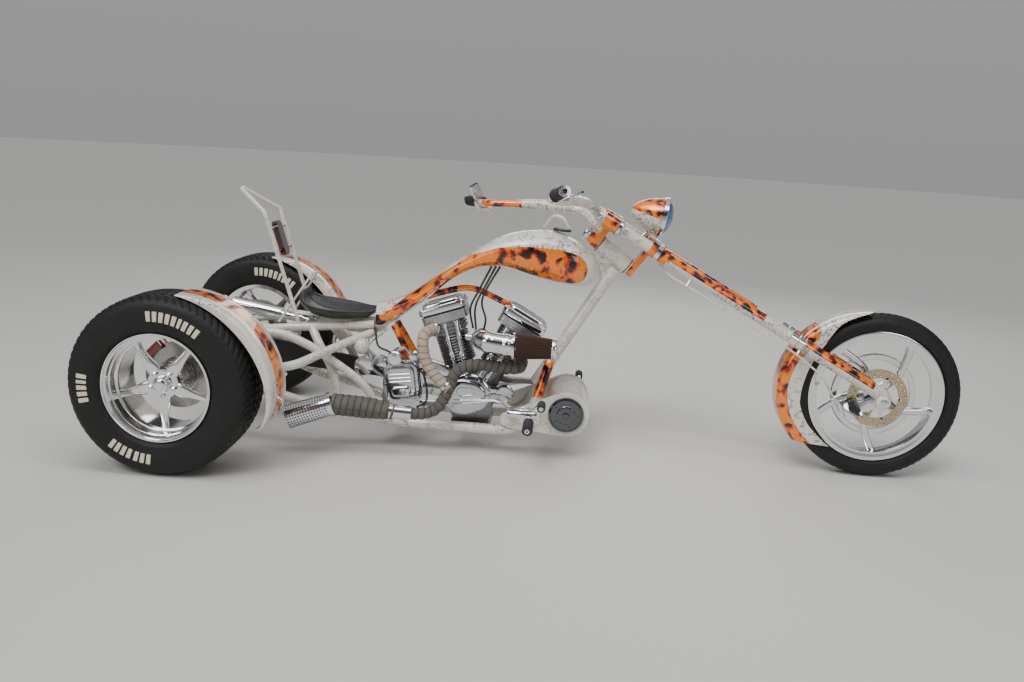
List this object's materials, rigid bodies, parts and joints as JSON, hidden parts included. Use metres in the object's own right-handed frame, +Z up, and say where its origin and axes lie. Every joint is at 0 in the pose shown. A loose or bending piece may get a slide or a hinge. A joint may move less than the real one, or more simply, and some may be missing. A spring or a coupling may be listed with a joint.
{
  "type": "motorized trike",
  "caption": "Long-fork three-wheeler: V-twin engine in a tubular cradle, two wide rear wheels with front-quarter fenders, bucket seat and tall backrest rods.",
  "frame": {"origin": "on the ground, half way between the back of the rear tyres and the front of the front tyre, on the middle plane", "axes": "+X forward, +Y to the rider's left, +Z up"},
  "size_m": [3.493, 1.405, 1.169],
  "materials": {
    "cream_paint": "gloss",
    "red_paint": "gloss",
    "black_vinyl": "satin",
    "lamp": "gloss",
    "chrome": "polished",
    "alloy": "satin",
    "black_case": "satin",
    "heat_wrap": "matte",
    "orange_paint": "gloss",
    "grip_rubber": "matte",
    "tyre": "matte"
  },
  "bodies": {
    "chassis": {"neck_and_downtube": "cream_paint", "right_lower_rail": "cream_paint", "left_lower_rail": "cream_paint", "top_rails": "cream_paint", "right_rear_stays": "cream_paint", "left_rear_stays": "cream_paint", "cradle_plates": "cream_paint", "rear_axle": "cream_paint", "rear_calipers": "red_paint", "right_rear_fender": "cream_paint", "left_rear_fender": "cream_paint", "fuel_tank": "cream_paint", "seat": "black_vinyl", "sissy_bar": "cream_paint", "tail_lamp": "lamp", "rear_shock": "chrome", "crankcase": "alloy", "rear_cylinder": "alloy", "front_cylinder": "alloy", "rear_rocker_box": "chrome", "front_rocker_box": "chrome", "cam_cover": "chrome", "transmission": "chrome", "primary_case": "chrome", "final_drive": "black_case", "air_intake": "chrome", "rear_exhaust": "heat_wrap", "front_exhaust": "heat_wrap", "muffler_tip": "chrome", "oil_drum": "cream_paint", "horn": "chrome", "right_forward_control": "chrome", "left_forward_control": "chrome"},
    "fork": {"triple_trees": "orange_paint", "right_fork_leg": "cream_paint", "left_fork_leg": "cream_paint", "handlebar": "cream_paint", "right_grip": "grip_rubber", "left_grip": "grip_rubber", "headlight": "orange_paint", "front_fender": "cream_paint", "front_caliper": "chrome", "front_axle": "chrome", "brake_hose": "cream_paint"},
    "front_wheel": {"front_tyre": "tyre", "front_rim": "chrome"},
    "right_rear_wheel": {"right_rear_tyre": "tyre", "right_rear_rim": "chrome"},
    "left_rear_wheel": {"left_rear_tyre": "tyre", "left_rear_rim": "chrome"}
  },
  "joints": [
    {"name": "steering", "type": "hinge", "parent": "chassis", "child": "fork", "pos_m": [0.2605, 0, 0.865], "axis": [-0.8153, 0, 0.5791], "range_deg": [-25, 25]},
    {"name": "front_wheel_spin", "type": "hinge", "parent": "fork", "child": "front_wheel", "pos_m": [1.3965, 0, 0.35], "axis": [0, 1, 0], "continuous": true},
    {"name": "right_rear_wheel_spin", "type": "hinge", "parent": "chassis", "child": "right_rear_wheel", "pos_m": [-1.4035, -0.575, 0.343], "axis": [0, 1, 0], "continuous": true},
    {"name": "left_rear_wheel_spin", "type": "hinge", "parent": "chassis", "child": "left_rear_wheel", "pos_m": [-1.4035, 0.575, 0.343], "axis": [0, 1, 0], "continuous": true}
  ]
}
